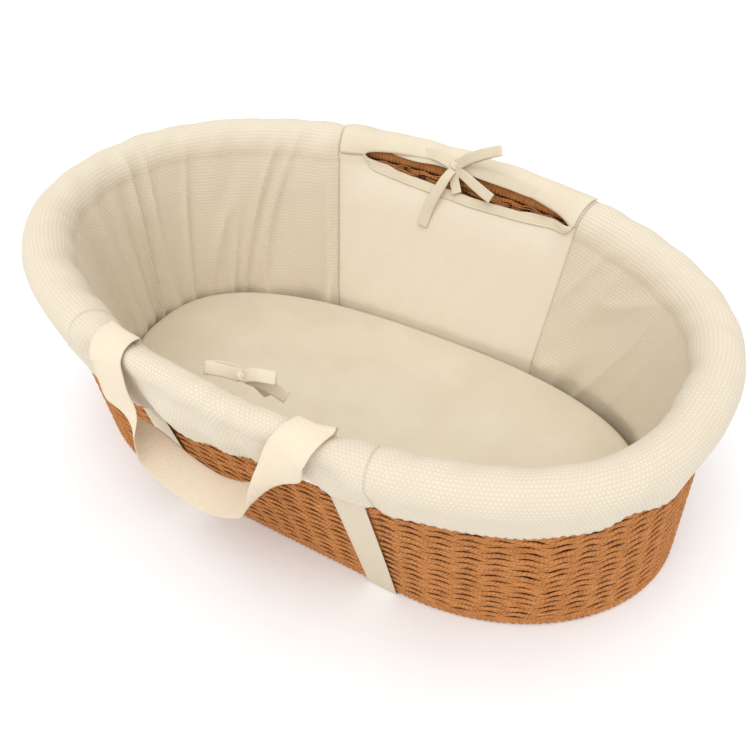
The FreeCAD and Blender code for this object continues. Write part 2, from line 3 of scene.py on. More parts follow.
import bmesh
import bpy
import numpy as np
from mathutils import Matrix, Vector


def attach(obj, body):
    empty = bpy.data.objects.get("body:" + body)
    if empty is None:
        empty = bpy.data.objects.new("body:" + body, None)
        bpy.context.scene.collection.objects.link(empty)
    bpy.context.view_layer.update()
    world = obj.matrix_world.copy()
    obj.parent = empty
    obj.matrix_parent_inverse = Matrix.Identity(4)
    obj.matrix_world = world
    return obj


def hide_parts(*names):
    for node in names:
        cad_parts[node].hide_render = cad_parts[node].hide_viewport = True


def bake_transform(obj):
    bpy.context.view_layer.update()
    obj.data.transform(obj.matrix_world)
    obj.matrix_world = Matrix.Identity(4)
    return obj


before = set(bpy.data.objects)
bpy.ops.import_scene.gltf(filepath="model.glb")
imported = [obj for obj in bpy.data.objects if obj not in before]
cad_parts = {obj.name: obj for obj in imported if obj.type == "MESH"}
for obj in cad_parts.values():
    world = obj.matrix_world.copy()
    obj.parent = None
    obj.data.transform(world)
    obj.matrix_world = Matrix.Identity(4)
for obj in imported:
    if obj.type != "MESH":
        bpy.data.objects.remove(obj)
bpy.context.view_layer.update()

# Sizes are in millimetres; +X is the foot end, +Y the back, +Z up.
mm = 0.001

basket = {
    "rimHalfLength": 390.6, "rimHalfWidth": 246.0, "rimPowerHead": 2.16, "rimPowerFoot": 2.43,
    "footHalfWidth": 179.9, "footStraight": 164.0, "footEndReach": 217.3, "footShift": 3.5,
    "straightTurn": 25.0,
    "rimHead": 266.2, "rimMiddle": 251.2, "rimFoot": 220.9, "wallHalf": 5.0,
}
liner = {
    "roll": 24.4, "shoulder": 8.0, "quarter": 47.0, "rollTurn": 106.04,
    "sidePadding": 33.0, "footPadding": 21.0,
    "kneeHeight": 72.0, "bottom": 14.0, "hemOut": 10.0, "thick": 1.2,
    "seamHead": -168.5, "seamFootRear": 170.0, "seamFootFront": 177.0,
    "slotHead": -134.0, "slotFoot": 163.0, "slotMiddle": -35.0, "slotHalf": 17.0,
}


# The basket's form

def signedPower(value, power):
    return np.sign(value) * np.abs(value) ** power


def rimPlan(turn):
    c, s = np.cos(np.radians(turn)), np.sin(np.radians(turn))
    power = np.where(c > 0, basket["rimPowerFoot"], basket["rimPowerHead"])
    x = basket["rimHalfLength"] * signedPower(c, 2 / power)
    return x, basket["rimHalfWidth"] * signedPower(s, 2 / power)


def footPlan(turn):
    wrapped = np.mod(turn, 360.0)
    offEnd = np.abs(np.mod(wrapped, 180.0) - 90.0)
    side = np.where(wrapped < 180, 1.0, -1.0)
    toward = np.where((wrapped < 90) | (wrapped > 270), 1.0, -1.0)
    straight = basket["straightTurn"]
    angle = np.radians(np.clip((90 - offEnd) * 90 / (90 - straight), 0, 90))
    onStraight = offEnd <= straight
    reach = np.where(onStraight, basket["footStraight"] * offEnd / straight,
                     basket["footStraight"] + basket["footEndReach"] * np.cos(angle))
    width = np.where(onStraight, 1.0, np.sin(angle)) * basket["footHalfWidth"]
    return basket["footShift"] + toward * reach, side * width


def rimHeight(x):
    a = np.clip(x / basket["rimHalfLength"], -1, 1)
    middle, head, foot = basket["rimMiddle"], basket["rimHead"], basket["rimFoot"]
    return middle + (foot - head) / 2 * a + ((foot + head) / 2 - middle) * a * a


def wallFrame(turn):
    turn = np.asarray(turn, float)
    x, y = rimPlan(turn)
    aheadX, aheadY = rimPlan(turn + 0.05)
    backX, backY = rimPlan(turn - 0.05)
    along = np.stack([aheadX - backX, aheadY - backY], -1)
    along /= np.linalg.norm(along, axis=-1, keepdims=True)
    height = rimHeight(x)
    rim = np.stack([x, y, height], -1)
    out = np.stack([along[..., 1], -along[..., 0], np.zeros_like(x)], -1)
    footX, footY = footPlan(turn)
    ground = np.stack([footX, footY, np.zeros_like(x)], -1) - out * basket["wallHalf"]
    fall = (ground - rim) / height[..., None]
    return rim, out, fall, height


def at(turn, u, drop):
    rim, out, fall, _ = wallFrame(turn)
    return rim + out * np.asarray(u)[..., None] + fall * np.asarray(drop)[..., None]


halfTurns = np.linspace(0, 180, 3601)
halfX = rimPlan(halfTurns)[0]


def turnAt(x, side):
    turn = np.interp(-np.asarray(x, float), -halfX, halfTurns)
    return turn if side > 0 else 360.0 - turn


evenTurns = np.linspace(0, 360, 7201)
evenPlaces = at(evenTurns, np.zeros_like(evenTurns), np.full_like(evenTurns, 120.0))
evenLengths = np.concatenate([[0], np.cumsum(np.linalg.norm(np.diff(evenPlaces, axis=0), axis=1))])
girth = evenLengths[-1]


def evenTurn(share):
    return np.interp(np.asarray(share) * girth, evenLengths, evenTurns)


def shareAt(turn):
    within = np.interp(np.mod(turn, 360.0), evenTurns, evenLengths) / girth
    return within + np.floor(np.asarray(turn) / 360.0)


# how far the hem hangs below the rim, by distance along the basket
hemPoints = {-223: 87, -191: 82, -114: 71, -72: 62, -37: 77, -15: 71, 15: 60, 59: 51, 118: 46, 136: 55,
             193: 53, 254: 50, 323: 52, 365: 42, 392: 52}


def hemDrop(turn):
    x = rimPlan(turn)[0]
    plain = 65 - 20 * np.cos(np.radians(turn))
    known = np.interp(x, list(hemPoints), list(hemPoints.values()))
    blend = np.clip((x + 260) / 40, 0, 1)
    head = plain + 4 * np.sin(np.radians(turn * 5)) + 2.5 * np.sin(np.radians(turn * 11 + 40))
    return known * blend + head * (1 - blend)


# outer face of the liner at s millimetres from the roll's top: outwards is positive, inwards negative
def sectionPoint(turn, s):
    height = rimHeight(rimPlan(turn)[0])
    roll, shoulder, quarter = liner["roll"], liner["shoulder"], liner["quarter"]
    side, knee = liner["sidePadding"], liner["kneeHeight"]
    centre = shoulder ** 2 / (2 * (roll + shoulder))
    reach = roll + centre
    angle = np.radians(np.clip(s / quarter, -1, 1) * liner["rollTurn"])
    u = reach * np.sin(angle)
    drop = centre - reach * np.cos(angle)
    kneeDrop = height - knee
    upper = np.hypot(side - roll, kneeDrop - shoulder)
    inward = np.clip(-s - quarter, 0, None)
    t = np.clip(inward / upper, 0, 1)
    lower = np.clip(inward - upper, 0, None) / (knee - liner["bottom"])
    innerU = -(roll + (side - roll) * t) + (side - liner["footPadding"]) * lower
    innerDrop = shoulder + (kneeDrop - shoulder) * t + (knee - liner["bottom"]) * lower
    outward = np.clip(s - quarter, 0, None)
    hem = hemDrop(turn)
    outerLength = np.hypot(roll - liner["hemOut"], hem - shoulder)
    t = outward / outerLength
    outerU = roll + (liner["hemOut"] - roll) * t
    outerDrop = shoulder + (hem - shoulder) * t
    u = np.where(s < -quarter, innerU, np.where(s > quarter, outerU, u))
    drop = np.where(s < -quarter, innerDrop, np.where(s > quarter, outerDrop, drop))
    return u, drop


def innerEnd(turn):
    height = rimHeight(rimPlan(turn)[0])
    upper = np.hypot(liner["sidePadding"] - liner["roll"], height - liner["kneeHeight"] - liner["shoulder"])
    return -(liner["quarter"] + upper + liner["kneeHeight"] - liner["bottom"])


def outerEnd(turn):
    return liner["quarter"] + np.hypot(liner["roll"] - liner["hemOut"], hemDrop(turn) - liner["shoulder"])


# the section point moved off the cloth's face by lift
def liftedSection(turn, s, lift):
    step = 0.5
    beforeU, beforeDrop = sectionPoint(turn, s - step)
    afterU, afterDrop = sectionPoint(turn, s + step)
    u, drop = sectionPoint(turn, s)
    runU, runDrop = afterU - beforeU, afterDrop - beforeDrop
    size = np.hypot(runU, runDrop) + 1e-9
    return u + runDrop / size * lift, drop - runU / size * lift


# sum of seeded sines, about -1 to 1
def waves(value, seed, count=5, low=1.0, high=3.0):
    rng = np.random.default_rng(seed)
    total = np.zeros_like(np.asarray(value, float))
    for _ in range(count):
        total = total + np.sin(value * rng.uniform(low, high) * 2 * math.pi + rng.uniform(0, 2 * math.pi))
    return total / math.sqrt(count * 1.4)


# Mesh makers

# a grid laid over place(a, b, layer). UVs are in metres: span is the grid's size or a function of (a, b)
def surface(name, columns, rows, place, span, wrapColumns=False, wrapRows=False, layers=1, flip=False,
            solid=0.0, shuffle=0):
    bm = bmesh.new()
    for layer in range(layers):
        start = len(bm.verts)
        bmesh.ops.create_grid(bm, x_segments=columns, y_segments=rows, size=0.5)
        bm.verts.ensure_lookup_table()
        for vert in bm.verts[start:]:
            vert.co.z = layer
    mesh = bpy.data.meshes.new(name)
    bm.to_mesh(mesh)
    bm.free()
    count = len(mesh.vertices)
    co = np.empty(count * 3)
    mesh.vertices.foreach_get("co", co)
    co = co.reshape(-1, 3)
    a, b, layer = co[:, 0] + 0.5, co[:, 1] + 0.5, co[:, 2]
    corners = np.empty(len(mesh.loops), np.int32)
    mesh.loops.foreach_get("vertex_index", corners)
    uvLayer = mesh.uv_layers.new(name="UVMap")
    uv = span(a, b) if callable(span) else np.stack([a * span[0], b * span[1]], -1)
    uv = uv[corners]
    uv[:, 0] += np.sin(layer[corners] * shuffle) * 0.01 if shuffle else 0.0
    uvLayer.data.foreach_set("uv", uv.astype(np.float32).ravel())
    mesh.vertices.foreach_set("co", (place(a, b, layer) * mm).astype(np.float32).ravel())
    bm = bmesh.new()
    bm.from_mesh(mesh)
    if wrapColumns or wrapRows:
        bmesh.ops.remove_doubles(bm, verts=bm.verts, dist=0.00002)
    if wrapRows and not wrapColumns:
        bmesh.ops.holes_fill(bm, edges=[edge for edge in bm.edges if edge.is_boundary], sides=0)
    if wrapRows:
        bmesh.ops.recalc_face_normals(bm, faces=bm.faces)
    if flip:
        bmesh.ops.reverse_faces(bm, faces=bm.faces)
    for face in bm.faces:
        face.smooth = True
    bm.to_mesh(mesh)
    bm.free()
    piece = bpy.data.objects.new(name, mesh)
    bpy.context.scene.collection.objects.link(piece)
    if solid:
        thickness = piece.modifiers.new("Thickness", "SOLIDIFY")
        thickness.thickness = solid * mm
        thickness.offset = -1
    return piece


# catmull-Rom line through the points, evenly sampled
def smoothPath(points, samples):
    points = np.asarray(points, float)
    padded = np.vstack([2 * points[0] - points[1], points, 2 * points[-1] - points[-2]])
    fine = []
    for i in range(1, len(padded) - 2):
        t = np.linspace(0, 1, 24, endpoint=False)[:, None]
        p0, p1, p2, p3 = padded[i - 1], padded[i], padded[i + 1], padded[i + 2]
        fine.append(0.5 * (2 * p1 + (p2 - p0) * t + (2 * p0 - 5 * p1 + 4 * p2 - p3) * t ** 2
                           + (3 * p1 - p0 - 3 * p2 + p3) * t ** 3))
    fine = np.vstack(fine + [points[-1:]])
    lengths = np.concatenate([[0], np.cumsum(np.linalg.norm(np.diff(fine[:, :3], axis=0), axis=1))])
    wanted = np.linspace(0, lengths[-1], samples)
    even = np.stack([np.interp(wanted, lengths, fine[:, i]) for i in range(fine.shape[1])], -1)
    return even, lengths[-1]


# a flat band through places: each is a middle point and the direction of the band's width
def ribbon(name, places, width, thick, columns, rows, ripple=0.0, seed=1):
    path, length = smoothPath([list(point) + list(across) for point, across in places], 400)
    share = np.linspace(0, 1, 400)
    run = np.gradient(path[:, :3], axis=0)
    run /= np.linalg.norm(run, axis=1, keepdims=True)
    across = path[:, 3:] - run * np.sum(path[:, 3:] * run, axis=1, keepdims=True)
    across /= np.linalg.norm(across, axis=1, keepdims=True) + 1e-9
    normal = np.cross(run, across)

    def pick(a, values):
        return np.stack([np.interp(a, share, values[:, i]) for i in range(3)], -1)

    def place(a, b, layer):
        angle = 2 * math.pi * b
        sideways = signedPower(np.cos(angle), 0.45) * width / 2
        height = signedPower(np.sin(angle), 0.6) * thick / 2
        wave = ripple * waves(a * length / 40, seed, 4, 0.5, 1.6) * (0.4 + np.abs(sideways) / width)
        middle = pick(a, path[:, :3]) + pick(a, across) * sideways[:, None]
        return middle + pick(a, normal) * (height + wave)[:, None]

    return surface(name, columns, rows, place, (length * mm, 2 * width * mm), wrapRows=True)


# Shared surface effects

def colour(red, green, blue):
    values = [value / 255 for value in (red, green, blue)]
    return tuple(v / 12.92 if v <= 0.04045 else ((v + 0.055) / 1.055) ** 2.4 for v in values) + (1.0,)


def newGroup(name, inputs, outputs):
    group = bpy.data.node_groups.new(name, "ShaderNodeTree")
    for title, value in inputs.items():
        socket = group.interface.new_socket(name=title, in_out="INPUT", socket_type="NodeSocketFloat")
        socket.default_value = value
    for title in outputs:
        group.interface.new_socket(name=title, in_out="OUTPUT", socket_type="NodeSocketFloat")
    return group, group.nodes.new("NodeGroupInput"), group.nodes.new("NodeGroupOutput")


def maths(tree, operation, first, second=None, third=None):
    node = tree.nodes.new("ShaderNodeMath")
    node.operation = operation
    for socket, value in zip(node.inputs, (first, second, third)):
        if value is None:
            continue
        if isinstance(value, (int, float)):
            socket.default_value = value
        else:
            tree.links.new(value, socket)
    return node.outputs[0]


def noiseOf(tree, scale, detail=3.0):
    node = tree.nodes.new("ShaderNodeTexNoise")
    node.inputs["Scale"].default_value = scale
    node.inputs["Detail"].default_value = detail
    node.inputs["Roughness"].default_value = 0.55
    place = tree.nodes.new("ShaderNodeTexCoord")
    tree.links.new(place.outputs["Object"], node.inputs["Vector"])
    return node.outputs["Fac"]


def uvParts(tree):
    uv = tree.nodes.new("ShaderNodeUVMap")
    uv.uv_map = "UVMap"
    parts = tree.nodes.new("ShaderNodeSeparateXYZ")
    tree.links.new(uv.outputs["UV"], parts.inputs[0])
    return parts.outputs[0], parts.outputs[1]


def waffleGroup():
    group, given, made = newGroup("waffleWeave", {"Cell": 0.0045, "Wear": 0.3}, ["Height", "PocketShade"])
    u, v = uvParts(group)
    wobble = maths(group, "MULTIPLY", maths(group, "SUBTRACT", noiseOf(group, 60.0, 2.0), 0.5), 0.0016)
    rows = maths(group, "FLOOR", maths(group, "ADD", maths(group, "DIVIDE", v, given.outputs["Cell"]), 0.5))
    stagger = maths(group, "MULTIPLY", maths(group, "MULTIPLY", rows, 0.5), given.outputs["Cell"])
    ripples = []
    for part in (maths(group, "ADD", u, stagger), v):
        turns = maths(group, "DIVIDE", maths(group, "ADD", part, wobble), given.outputs["Cell"])
        wave = maths(group, "COSINE", maths(group, "MULTIPLY", turns, 2 * math.pi))
        ripples.append(maths(group, "MULTIPLY_ADD", wave, 0.5, 0.5))
    # the pocket mask is the relief and also colours its low parts darker: painted shade in the waffle's
    # recesses
    pocket = maths(group, "POWER", maths(group, "MULTIPLY", ripples[0], ripples[1]), 0.8)
    worn = maths(group, "MULTIPLY", noiseOf(group, 35.0, 2.0), given.outputs["Wear"])
    soft = maths(group, "SUBTRACT", pocket, maths(group, "MULTIPLY", worn, pocket))
    fuzz = maths(group, "MULTIPLY", noiseOf(group, 1500.0, 2.0), 0.25)
    group.links.new(maths(group, "ADD", soft, fuzz), made.inputs["Height"])
    group.links.new(soft, made.inputs["PocketShade"])
    return group


def twillGroup():
    group, given, made = newGroup("twillWeave", {"Rib": 0.0024}, ["Height", "Rib"])
    u, v = uvParts(group)
    slant = maths(group, "DIVIDE", maths(group, "ADD", u, v), given.outputs["Rib"])
    ribs = maths(group, "SINE", maths(group, "MULTIPLY", slant, 2 * math.pi))
    ribs = maths(group, "MULTIPLY_ADD", ribs, 0.5, 0.5)
    weft = maths(group, "DIVIDE", u, maths(group, "MULTIPLY", given.outputs["Rib"], 0.5))
    fine = maths(group, "SINE", maths(group, "MULTIPLY", weft, 2 * math.pi))
    fine = maths(group, "MULTIPLY_ADD", fine, 0.2, 0.2)
    rough = maths(group, "MULTIPLY", noiseOf(group, 900.0, 2.0), 0.4)
    group.links.new(maths(group, "ADD", maths(group, "ADD", ribs, fine), rough), made.inputs["Height"])
    # the rib mask colours the grooves between the twill ribs darker: painted shade
    group.links.new(ribs, made.inputs["Rib"])
    return group


def twistGroup():
    group, given, made = newGroup("ropeTwist", {"Pitch": 0.0042, "Around": 0.0113}, ["Height", "GrooveShadeAndTone"])
    u, v = uvParts(group)
    phase = maths(group, "ADD", maths(group, "DIVIDE", u, given.outputs["Pitch"]),
                  maths(group, "DIVIDE", v, given.outputs["Around"]))
    ply = maths(group, "ABSOLUTE", maths(group, "SINE", maths(group, "MULTIPLY", phase, math.pi)))
    fibre = noiseOf(group, 700.0, 3.0)
    group.links.new(maths(group, "MULTIPLY_ADD", fibre, 0.5, ply), made.inputs["Height"])
    halfFibre = maths(group, "MULTIPLY", fibre, 0.5)
    patches = maths(group, "MULTIPLY_ADD", noiseOf(group, 90.0, 3.0), 0.5, halfFibre)
    # colour mask: painted shade in the grooves of the twist, plus random tone from the fibre and patch
    # noise
    grooveShadeAndTone = maths(group, "MULTIPLY_ADD", ply, 0.18, maths(group, "SUBTRACT", patches, 0.1))
    group.links.new(grooveShadeAndTone, made.inputs["GrooveShadeAndTone"])
    return group


def clothGroup():
    group, given, made = newGroup("plainWeave", {"Thread": 0.0009}, ["Height", "Cloud"])
    u, v = uvParts(group)
    threads = []
    for part in (u, v):
        turns = maths(group, "DIVIDE", part, given.outputs["Thread"])
        threads.append(maths(group, "SINE", maths(group, "MULTIPLY", turns, 2 * math.pi)))
    weave = maths(group, "MULTIPLY", threads[0], threads[1])
    crumple = maths(group, "MULTIPLY", noiseOf(group, 45.0, 4.0), 1.4)
    group.links.new(maths(group, "MULTIPLY_ADD", weave, 0.12, crumple), made.inputs["Height"])
    group.links.new(noiseOf(group, 14.0, 3.0), made.inputs["Cloud"])
    return group


effects = {"waffle": waffleGroup(), "twill": twillGroup(), "twist": twistGroup(), "cloth": clothGroup()}


# a material whose colour runs from dark to light by one of the effect's masks
def finish(name, effect, settings, mask, dark, light, roughness, bump, distance, low, high, sheen=0.0):
    material = bpy.data.materials.new(name)
    material.use_nodes = True
    tree = material.node_tree
    shader = next(node for node in tree.nodes if node.type == "BSDF_PRINCIPLED")
    shader.inputs["Roughness"].default_value = roughness
    shader.inputs["Sheen Weight"].default_value = sheen
    shader.inputs["Specular IOR Level"].default_value = 0.25
    weave = tree.nodes.new("ShaderNodeGroup")
    weave.node_tree = effects[effect]
    for title, value in settings.items():
        weave.inputs[title].default_value = value
    ramp = tree.nodes.new("ShaderNodeValToRGB")
    ramp.color_ramp.elements[0].position = low
    ramp.color_ramp.elements[0].color = colour(*dark)
    ramp.color_ramp.elements[1].position = high
    ramp.color_ramp.elements[1].color = colour(*light)
    tree.links.new(weave.outputs[mask], ramp.inputs["Fac"])
    tree.links.new(ramp.outputs["Color"], shader.inputs["Base Color"])
    bumps = tree.nodes.new("ShaderNodeBump")
    bumps.inputs["Strength"].default_value = bump
    bumps.inputs["Distance"].default_value = distance
    tree.links.new(weave.outputs["Height"], bumps.inputs["Height"])
    tree.links.new(bumps.outputs["Normal"], shader.inputs["Normal"])
    return material


# a material with an even grain on object coordinates, for the parts inside
def grainFinish(name, dark, light, roughness, metallic=0.0, scale=300.0, bump=0.3):
    material = bpy.data.materials.new(name)
    material.use_nodes = True
    tree = material.node_tree
    shader = next(node for node in tree.nodes if node.type == "BSDF_PRINCIPLED")
    shader.inputs["Roughness"].default_value = roughness
    shader.inputs["Metallic"].default_value = metallic
    grain = noiseOf(tree, scale, 3.0)
    ramp = tree.nodes.new("ShaderNodeValToRGB")
    ramp.color_ramp.elements[0].position = 0.3
    ramp.color_ramp.elements[0].color = colour(*dark)
    ramp.color_ramp.elements[1].position = 0.7
    ramp.color_ramp.elements[1].color = colour(*light)
    tree.links.new(grain, ramp.inputs["Fac"])
    tree.links.new(ramp.outputs["Color"], shader.inputs["Base Color"])
    bumps = tree.nodes.new("ShaderNodeBump")
    bumps.inputs["Strength"].default_value = bump
    bumps.inputs["Distance"].default_value = 0.0006
    tree.links.new(grain, bumps.inputs["Height"])
    tree.links.new(bumps.outputs["Normal"], shader.inputs["Normal"])
    return material


finishes = {
    # both waffle colours run from dark to light with the relief: painted shade in the recesses
    "waffle": finish("waffleCotton", "waffle", {"Cell": 0.0042, "Wear": 0.8}, "PocketShade",
                     (214, 202, 181), (232, 221, 201), 0.92, 0.4, 0.0009, 0.05, 0.8, sheen=0.1),
    "waffleFine": finish("waffleCottonInside", "waffle", {"Cell": 0.0036, "Wear": 0.9}, "PocketShade",
                         (226, 215, 196), (233, 223, 205), 0.92, 0.3, 0.0008, 0.05, 0.8, sheen=0.1),
    "plain": finish("plainCotton", "cloth", {"Thread": 0.0008}, "Cloud",
                    (214, 202, 178), (224, 212, 190), 0.9, 0.3, 0.0008, 0.3, 0.7, sheen=0.1),
    "sheet": finish("sheetCotton", "cloth", {"Thread": 0.0006}, "Cloud",
                    (208, 196, 173), (215, 204, 182), 0.9, 0.2, 0.0006, 0.3, 0.7, sheen=0.1),
    # webbing and tape colours darken in the twill's grooves: painted shade
    "webbing": finish("handleTwill", "twill", {"Rib": 0.0024}, "Rib",
                      (222, 206, 181), (237, 222, 199), 0.88, 0.4, 0.0006, 0.1, 0.8, sheen=0.1),
    "tape": finish("flatTape", "twill", {"Rib": 0.0018}, "Rib",
                   (208, 194, 171), (220, 207, 185), 0.88, 0.3, 0.0004, 0.1, 0.9, sheen=0.1),
    # rope colours darken in the twist grooves (painted shade), with random tone patches
    "rope": finish("paperRope", "twist", {"Pitch": 0.0042, "Around": 0.0113}, "GrooveShadeAndTone",
                   (152, 92, 46), (222, 154, 92), 0.8, 0.6, 0.0008, 0.25, 0.8),
    "wraps": finish("paperRopeWraps", "twist", {"Pitch": 0.003, "Around": 0.05}, "GrooveShadeAndTone",
                    (152, 92, 46), (220, 152, 92), 0.8, 0.5, 0.0006, 0.25, 0.8),
    # near-black brown for the solid behind the rope rows: painted shade showing in the gaps between strands
    "gapShade": grainFinish("ropeGapShade", (44, 22, 8), (84, 46, 20), 0.95),
    "stake": grainFinish("stakeWood", (132, 92, 54), (164, 118, 74), 0.8),
    "steel": grainFinish("wireSteel", (150, 150, 148), (184, 184, 180), 0.4, 1.0, 500.0, 0.1),
    "elastic": grainFinish("elasticBraid", (232, 230, 224), (246, 245, 240), 0.8, 0.0, 600.0, 0.5),
}


def dress(piece, finishName, body="basket", replaces=()):
    piece.data.materials.clear()
    piece.data.materials.append(finishes[finishName])
    if body:
        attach(piece, body)
    if replaces:
        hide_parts(*replaces)
    return piece


# Camera, lights and floor
studio = {
    "cameraPlace": (0.5399, -0.7218, 0.8604), "azimuth": 35.68, "elevation": 40.16, "roll": -3.58,
    "lens": 47.23, "floorHalf": 40.0, "floorDark": (248, 250, 252), "floorLight": (250, 252, 254),
    "keyFrom": (0.25, -0.7, 0.9), "keyStrength": 1.2, "keySpread": 60.0,
    "topFrom": (-0.1, 0.1, 1.0), "topStrength": 0.8, "topSpread": 90.0, "backdrop": 0.76,
}


def camera():
    azimuth, elevation, roll = (math.radians(studio[key]) for key in ("azimuth", "elevation", "roll"))
    back = Vector((math.sin(azimuth) * math.cos(elevation), -math.cos(azimuth) * math.cos(elevation),
                   math.sin(elevation)))
    right = (-back).cross(Vector((0, 0, 1))).normalized()
    up = back.cross(right)
    sideways = right * math.cos(roll) + up * math.sin(roll)
    upright = up * math.cos(roll) - right * math.sin(roll)
    data = bpy.data.cameras.new("camera")
    data.lens = studio["lens"]
    data.clip_start = 0.02
    view = bpy.data.objects.new("camera", data)
    bpy.context.scene.collection.objects.link(view)
    rows = [[sideways[i], upright[i], back[i], studio["cameraPlace"][i]] for i in range(3)] + [[0, 0, 0, 1]]
    view.matrix_world = type(view.matrix_world)(rows)
    bpy.context.scene.camera = view


def softLight(name, comesFrom, strength, spread, tint):
    data = bpy.data.lights.new(name, "SUN")
    data.energy, data.angle, data.color = strength, math.radians(spread), tint
    light = bpy.data.objects.new(name, data)
    light.location = Vector(comesFrom) * 2
    light.rotation_euler = (-Vector(comesFrom)).to_track_quat("-Z", "Y").to_euler()
    bpy.context.scene.collection.objects.link(light)


def floor():
    bm = bmesh.new()
    bmesh.ops.create_grid(bm, x_segments=1, y_segments=1, size=studio["floorHalf"])
    mesh = bpy.data.meshes.new("floor")
    bm.to_mesh(mesh)
    bm.free()
    piece = bpy.data.objects.new("floor", mesh)
    bpy.context.scene.collection.objects.link(piece)
    paper = grainFinish("floorPaper", studio["floorDark"], studio["floorLight"], 1.0, 0.0, 20.0, 0.0)
    piece.data.materials.append(paper)


camera()
softLight("keyLight", studio["keyFrom"], studio["keyStrength"], studio["keySpread"], (1.0, 0.99, 0.97))
softLight("topLight", studio["topFrom"], studio["topStrength"], studio["topSpread"], (0.97, 0.985, 1.0))
floor()
world = bpy.data.worlds.new("studio")
world.use_nodes = True
world.node_tree.nodes["Background"].inputs["Color"].default_value = (1, 1, 1, 1)
world.node_tree.nodes["Background"].inputs["Strength"].default_value = studio["backdrop"]
bpy.context.scene.world = world
bpy.context.scene.view_settings.view_transform = "Standard"
print("studio done")

# Rope wall
weave = {
    "strands": 80, "waves": 72, "radius": 1.38, "swell": 1.5, "dip": 1.9, "top": 7.0, "bottom": 11.5,
    "columns": 432, "sides": 7, "pairSpread": 0.225, "pairPinch": 1.1, "postBulge": 8.0, "postTurn": 7.0,
    "postAt": 37.0, "perPiece": (27, 27, 26), "innerHead": -175, "innerFoot": 185, "innerRows": 16,
    "innerColumns": 110, "ropeGirth": 0.0113,
}


# point of strand number, side 1 outside the wall and -1 inside it
def strandPlace(share, angle, number, side, total):
    turn = evenTurn(share)
    height = rimHeight(rimPlan(turn)[0])
    pair = np.floor(number / 2)
    upper = np.mod(number, 2) * 2 - 1
    wobble = 0.35 * np.sin(pair * 2.3 + share * 37 * math.pi)
    wobble = wobble + 0.25 * np.sin(pair * 5.1 + share * 61 * math.pi)
    phase = 2 * math.pi * weave["waves"] * share + 0.5 * np.sin(pair * 1.7 + 9 * math.pi * share)
    level = (pair + 0.5 + weave["pairSpread"] * upper) / (total / 2)
    drop = weave["top"] + (height - weave["bottom"] - weave["top"]) * level
    scallop = np.abs(np.sin(phase / 2)) ** 1.3
    drop = drop + weave["dip"] * (scallop - 0.5) * 1.4 + wobble
    short = (0.5 + 0.5 * np.cos(phase / 2 + pair * math.pi * 0.5 + 3 * wobble)) ** 3.2
    pinch = weave["pairPinch"] * short * (0.75 + 0.45 * np.sin(pair * 7.3 + share * 83 * math.pi))
    drop = drop - upper * pinch * 0.5
    u = side * (basket["wallHalf"] + weave["swell"] * np.cos(phase / 2 + math.pi * pair) * 0.7)
    offPost = np.abs(np.abs(np.mod(turn + 180, 360) - 180) - weave["postAt"])
    post = np.clip(1 - offPost / weave["postTurn"], 0, 1) * np.sin(math.pi * np.clip(level, 0, 1)) ** 0.5
    u = u + np.where(side > 0, weave["postBulge"], 0.0) * post
    radius = weave["radius"] * (1 + 0.07 * np.sin(pair * 3.1 + share * 130 * math.pi))
    twist = 0.1 * np.cos(2 * angle - share * girth / 4.5 * math.pi)
    radius = radius * (1 + twist)
    centre = at(turn, u, drop)
    _, out, fall, _ = wallFrame(turn)
    down = fall / np.linalg.norm(fall, axis=1, keepdims=True)
    return centre + out * (radius * np.cos(angle))[:, None] + down * (radius * np.sin(angle))[:, None]


def ropeWall():
    first = 0
    for index, count in enumerate(weave["perPiece"]):
        def place(a, b, layer, first=first):
            return strandPlace(a, 2 * math.pi * b, layer + first, 1, weave["strands"])
        piece = surface(f"rope_rows_{index + 1}", weave["columns"], weave["sides"], place,
                        (girth * mm, weave["ropeGirth"]), True, True, layers=count, shuffle=7)
        dress(piece, "rope")
        first += count


# rows seen through the slots, on the inner side of the wall
def insideRope():
    for name, side in (("rear", 1), ("front", -1)):
        start, end = (shareAt(turnAt(weave[end], side)) for end in ("innerHead", "innerFoot"))
        low, high = min(start, end), max(start, end)

        def place(a, b, layer, low=low, high=high):
            return strandPlace(low + (high - low) * a, 2 * math.pi * b, layer, -1, weave["strands"])
        span = ((high - low) * girth * mm, weave["ropeGirth"])
        piece = surface(f"inner_rope_rows_{name}", weave["innerColumns"], weave["sides"], place, span,
                        wrapRows=True, layers=weave["innerRows"])
        dress(piece, "rope")


footWraps = {"out": 5.6, "down": 4.6, "wraps": 280, "slant": 3, "depth": 2.0, "stepsPerWrap": 6,
             "sides": 12, "above": 6.4}
rimWraps = {"out": 7.4, "down": 7.4, "wraps": 420, "slant": 1, "depth": 1.4, "stepsPerWrap": 5, "sides": 12}


def wrappedRing(name, ring, dropOf, stands):
    def place(a, b, layer):
        turn = evenTurn(a)
        angle = 2 * math.pi * b
        phase = math.pi * (ring["wraps"] * a + ring["slant"] * b) + 0.4 * np.sin(a * 90 * math.pi)
        lift = ring["depth"] * np.abs(np.sin(phase))
        _, out, fall, height = wallFrame(turn)
        down = fall / np.linalg.norm(fall, axis=1, keepdims=True)
        centre = at(turn, np.zeros_like(a), dropOf(turn, height))
        sideways = (ring["out"] + lift) * signedPower(np.cos(angle), 0.85)
        along = (ring["down"] + lift) * signedPower(np.sin(angle), 0.85)
        return centre + out * sideways[:, None] + down * along[:, None]

    columns = ring["wraps"] * ring["stepsPerWrap"]
    piece = surface(name, columns, ring["sides"], place, (girth * mm, 0.05), True, True)
    dress(piece, "wraps", replaces=[stands])


ropeWall()
insideRope()
wrappedRing("foot_border_wraps", footWraps, lambda turn, height: height - footWraps["above"], "foot_border")
wrappedRing("rim_border_wraps", rimWraps, lambda turn, height: np.zeros_like(turn), "rim_border")
print("rope wall done")

